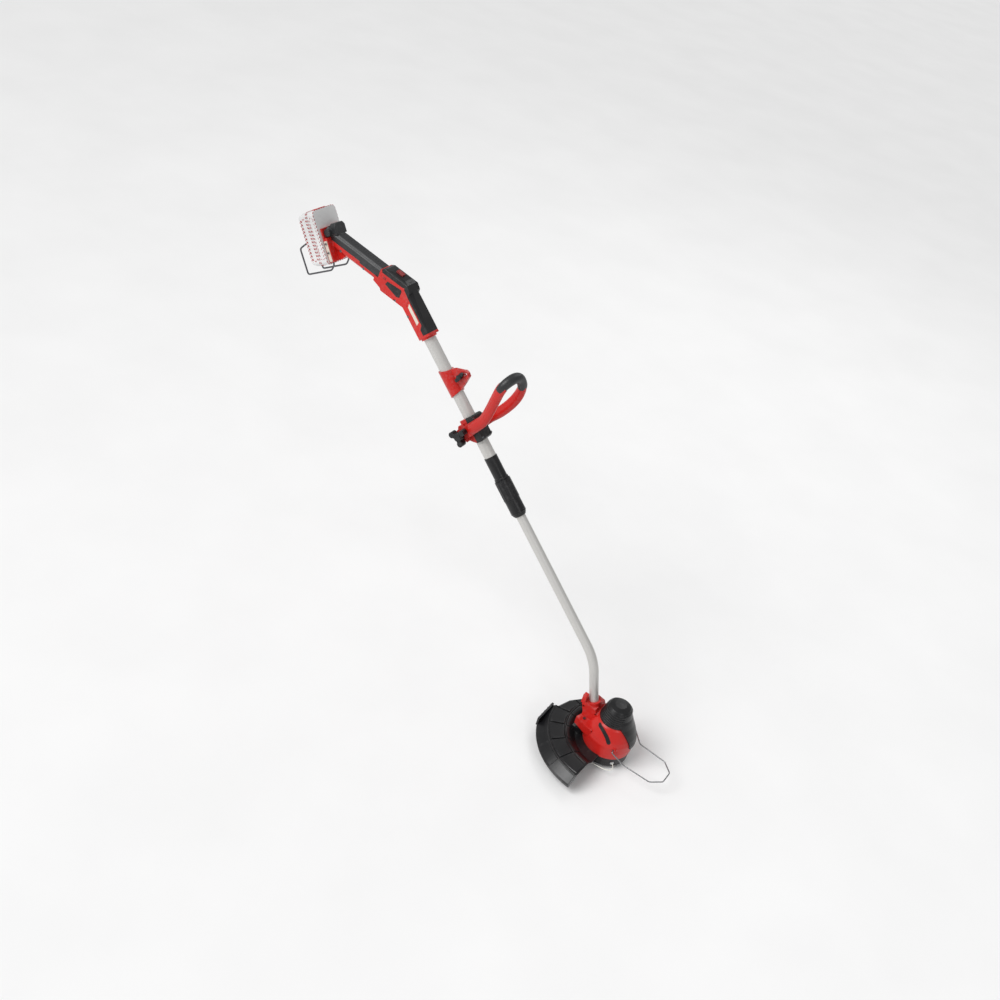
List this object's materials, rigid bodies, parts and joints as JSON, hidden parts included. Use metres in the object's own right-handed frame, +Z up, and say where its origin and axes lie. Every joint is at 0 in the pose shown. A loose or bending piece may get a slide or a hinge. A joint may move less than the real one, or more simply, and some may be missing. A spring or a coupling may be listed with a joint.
{
  "type": "lawn edger",
  "caption": "Battery lawn edger: trigger grip with rear battery, telescopic bent shaft with tilting loop handle, turning line head with half-round shield and wire guard.",
  "frame": {"origin": "centre of the flat underside of the tap button, on the spool axis", "axes": "+X forward from the user to the head, +Y to the left of the user, +Z up along the spool axis"},
  "size_m": [1.2376, 0.2623, 0.9598],
  "materials": {
    "red_plastic": "satin moulded",
    "black_plastic": "fine texture",
    "soft_rubber": "matt",
    "dark_red_plastic": "satin",
    "cream_plastic": "satin",
    "battery_plastic": "satin",
    "cell_wrap": "satin",
    "board_green": "satin",
    "aluminium": "brushed",
    "grey_nylon": "matt",
    "steel": "plain",
    "dark_wire": "coated wire",
    "bright_wire": "plated wire",
    "rotor_metal": "laminations and winding",
    "line_nylon": "nylon"
  },
  "bodies": {
    "upper": {"handle_shell_right": "red_plastic", "handle_shell_left": "red_plastic", "top_cover": "black_plastic", "soft_grip": "soft_rubber", "shaft_end_ring": "red_plastic", "handle_screws": "steel", "badge_plates": "black_plastic", "side_inlays": "cream_plastic", "trigger_pin": "steel", "switch_module": "black_plastic", "control_board": "board_green", "battery_terminals": "black_plastic", "battery_bracket": "dark_wire", "clip_plates": "cream_plastic", "upper_tube": "aluminium", "upper_cable": "black_plastic", "strap_bracket": "red_plastic", "strap_bolt": "steel", "clamp_lower_half": "red_plastic", "clamp_upper_half": "black_plastic", "clamp_screws": "steel", "lock_sleeve": "black_plastic", "lock_collet": "grey_nylon"},
    "trigger": {"trigger": "black_plastic"},
    "lock_off": {"lock_off_button": "dark_red_plastic"},
    "battery": {"battery_lower_case": "battery_plastic", "battery_upper_case": "battery_plastic", "battery_cells": "cell_wrap"},
    "battery_latch": {"battery_release": "red_plastic"},
    "strap_knob": {"strap_knob": "black_plastic"},
    "loop": {"loop_handle": "red_plastic", "loop_grip": "soft_rubber"},
    "loop_knob": {"loop_knob": "black_plastic", "loop_bolt": "steel", "loop_nut": "steel"},
    "lock_collar": {"lock_collar": "black_plastic"},
    "slider": {"guide_bush": "grey_nylon"},
    "lower": {"lower_tube": "aluminium", "lower_cable": "black_plastic", "head_shell_right": "red_plastic", "head_shell_left": "red_plastic", "head_screws": "steel", "side_windows": "black_plastic", "motor_cap": "black_plastic", "motor_can": "steel", "motor_bearings": "steel", "shield": "black_plastic", "shield_screws": "steel", "line_cutter": "steel"},
    "guard": {"guard_wire_loop": "bright_wire"},
    "spool": {"spool_housing": "black_plastic", "spool_cover": "black_plastic", "bobbin": "grey_nylon", "wound_line": "line_nylon", "line_eyelets": "steel", "cutting_line": "line_nylon", "motor_rotor": "rotor_metal", "cooling_fan": "grey_nylon"},
    "tap": {"tap_button": "red_plastic", "tap_spring": "steel"}
  },
  "joints": [
    {"name": "trigger_pull", "type": "hinge", "parent": "upper", "child": "trigger", "pos_m": [-0.8353, 0, 0.87346], "axis": [0, 1, 0], "range_deg": [0, 9], "stiffness_Nm_per_rad": 0.4, "springref_deg": -5.73},
    {"name": "lock_off_press", "type": "slide", "parent": "upper", "child": "lock_off", "axis": [-0.1788, 0, -0.9839], "range_m": [0, 0.0025], "stiffness_N_per_m": 400, "springref_m": -0.002},
    {"name": "battery_slide", "type": "slide", "parent": "upper", "child": "battery", "axis": [-0.5402, 0, 0.8415], "range_m": [0, 0.11]},
    {"name": "battery_latch_press", "type": "slide", "parent": "battery", "child": "battery_latch", "axis": [0.5402, 0, -0.8415], "range_m": [0, 0.0035], "stiffness_N_per_m": 400, "springref_m": -0.002},
    {"name": "strap_knob_turn", "type": "hinge", "parent": "upper", "child": "strap_knob", "pos_m": [-0.60406, 0, 0.74674], "axis": [0, 1, 0], "continuous": true},
    {"name": "loop_tilt", "type": "hinge", "parent": "upper", "child": "loop", "pos_m": [-0.55504, 0, 0.62734], "axis": [0, 1, 0], "range_deg": [-50, 50]},
    {"name": "loop_knob_turn", "type": "hinge", "parent": "upper", "child": "loop_knob", "pos_m": [-0.55504, 0, 0.62734], "axis": [0, 1, 0], "continuous": true},
    {"name": "lock_collar_turn", "type": "hinge", "parent": "upper", "child": "lock_collar", "pos_m": [-0.41473, 0, 0.52576], "axis": [-0.7349, 0, 0.6782], "range_deg": [0, 90]},
    {"name": "shaft_slide", "type": "slide", "parent": "upper", "child": "slider", "axis": [-0.7349, 0, 0.6782], "range_m": [0, 0.2]},
    {"name": "head_turn", "type": "hinge", "parent": "slider", "child": "lower", "pos_m": [-0.31184, 0, 0.43082], "axis": [-0.7349, 0, 0.6782], "range_deg": [0, 180]},
    {"name": "guard_flip", "type": "hinge", "parent": "lower", "child": "guard", "pos_m": [0.035, 0, 0.067], "axis": [0, 1, 0], "range_deg": [-110, 0]},
    {"name": "spool_spin", "type": "hinge", "parent": "lower", "child": "spool", "pos_m": [0, 0, 0.02], "axis": [0, 0, 1], "continuous": true},
    {"name": "tap_press", "type": "slide", "parent": "spool", "child": "tap", "axis": [0, 0, 1], "range_m": [0, 0.0045], "stiffness_N_per_m": 600, "springref_m": -0.003, "deforming": ["tap_spring"]}
  ]
}
